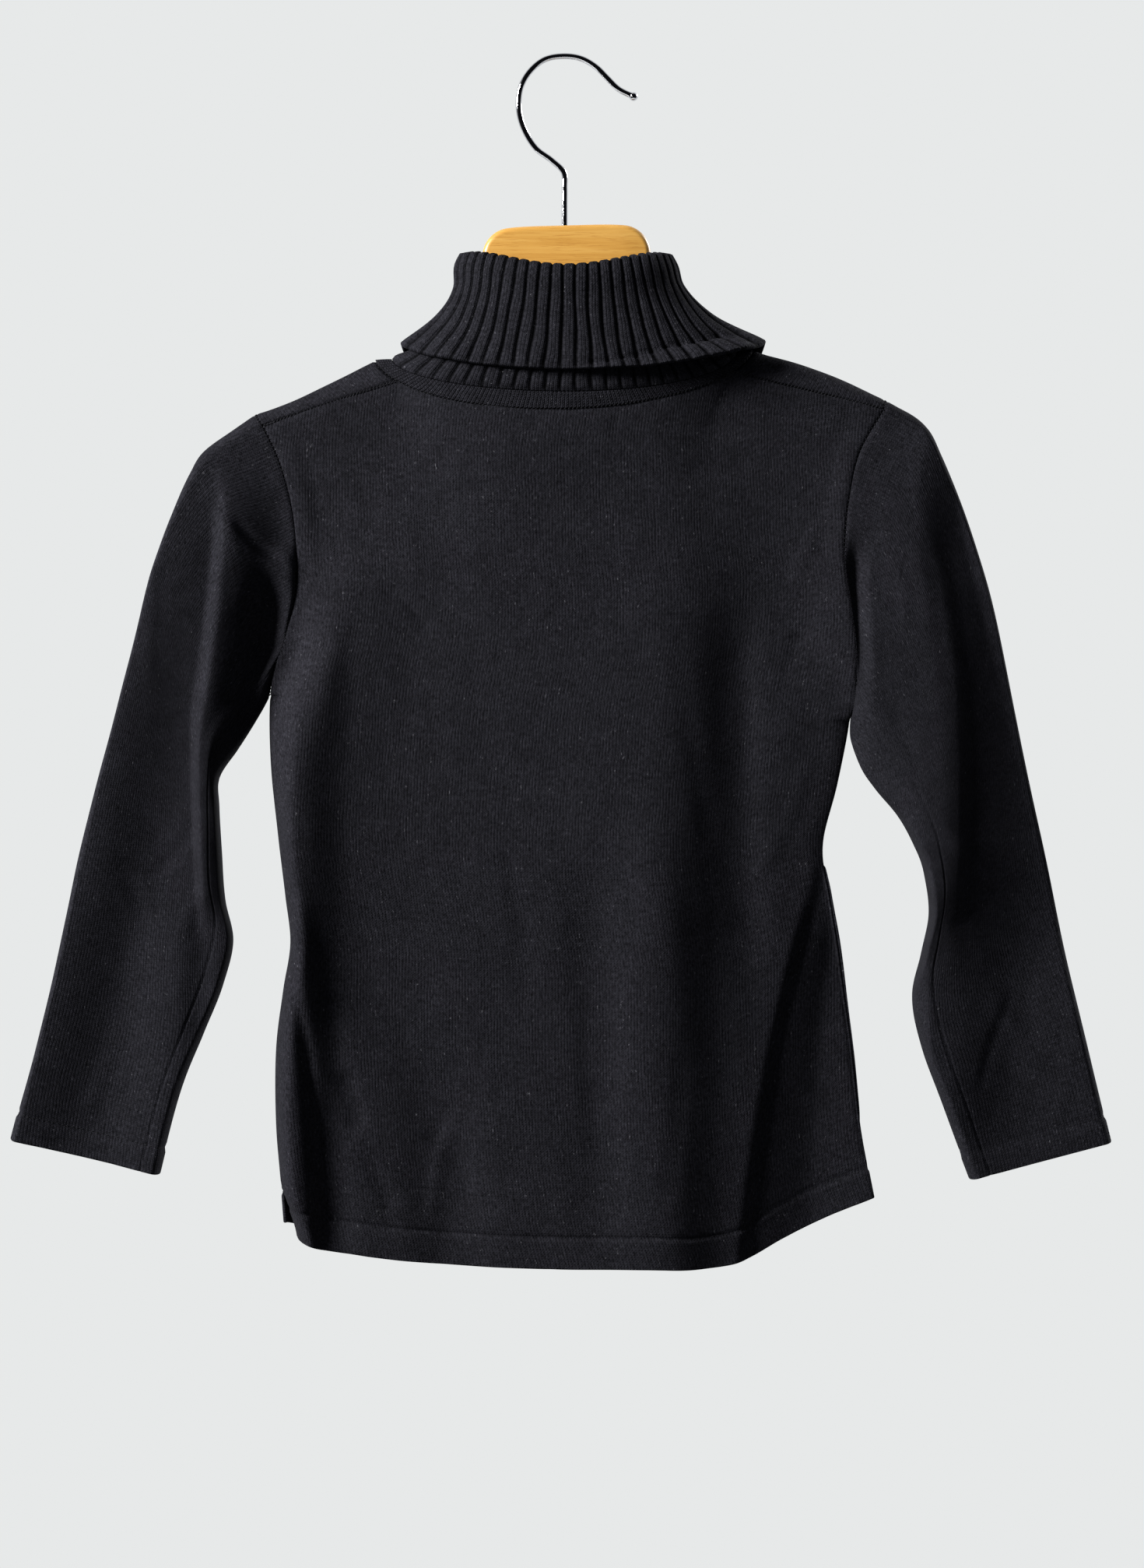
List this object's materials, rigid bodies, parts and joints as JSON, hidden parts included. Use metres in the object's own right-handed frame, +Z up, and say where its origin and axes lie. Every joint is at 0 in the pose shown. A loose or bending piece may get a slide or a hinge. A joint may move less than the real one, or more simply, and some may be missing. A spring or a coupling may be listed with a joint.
{
  "type": "turtleneck sweater on a wooden clothes hanger",
  "caption": "Child's fine-knit turtleneck sweater with long set-in sleeves and a ribbed roll neck, hanging on a flat wooden hanger with a wire hook.",
  "frame": {"origin": "inside top of the hanger hook's bend, where it rests on a rail", "axes": "+Z up; the back of the sweater faces -Y and its front +Y; the wearer's left sleeve is at -X and the right one at +X"},
  "size_m": [0.5688, 0.057, 0.6273],
  "materials": {
    "knit": "matt black fine jersey",
    "rib": "matt black rib knit",
    "wood": "satin clear varnish",
    "chrome": "bright chrome"
  },
  "bodies": {
    "root": {"back": "knit", "front": "knit", "sleeve_left": "knit", "sleeve_right": "knit", "neck_band": "knit", "collar": "rib", "hanger": "wood", "hook": "chrome"}
  },
  "joints": []
}
